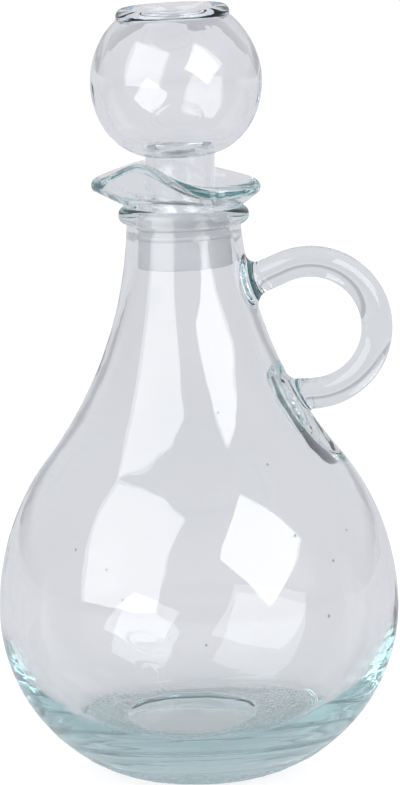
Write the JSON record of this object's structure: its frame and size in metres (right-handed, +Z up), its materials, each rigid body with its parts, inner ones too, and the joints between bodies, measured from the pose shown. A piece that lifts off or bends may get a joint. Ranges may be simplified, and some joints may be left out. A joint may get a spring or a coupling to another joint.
{
  "type": "oil bottle",
  "caption": "Blown glass oil bottle with a round body, a pinched pouring lip, a fused ring handle and a hollow ball stopper in a ribbed seal.",
  "frame": {"origin": "middle of the ring on which the bottle stands", "axes": "+Z up, +X from the bottle's axis to the ring handle, the pouring spout points to -X"},
  "size_m": [0.1099, 0.11, 0.2122],
  "materials": {
    "bottle_glass": "clear blown glass with a faint blue-green tint",
    "stopper_glass": "clear thin blown glass",
    "seal_plastic": "translucent soft polyethylene"
  },
  "bodies": {
    "root": {"bottle": "bottle_glass", "stopper": "stopper_glass", "seal_sleeve": "seal_plastic"}
  },
  "joints": []
}
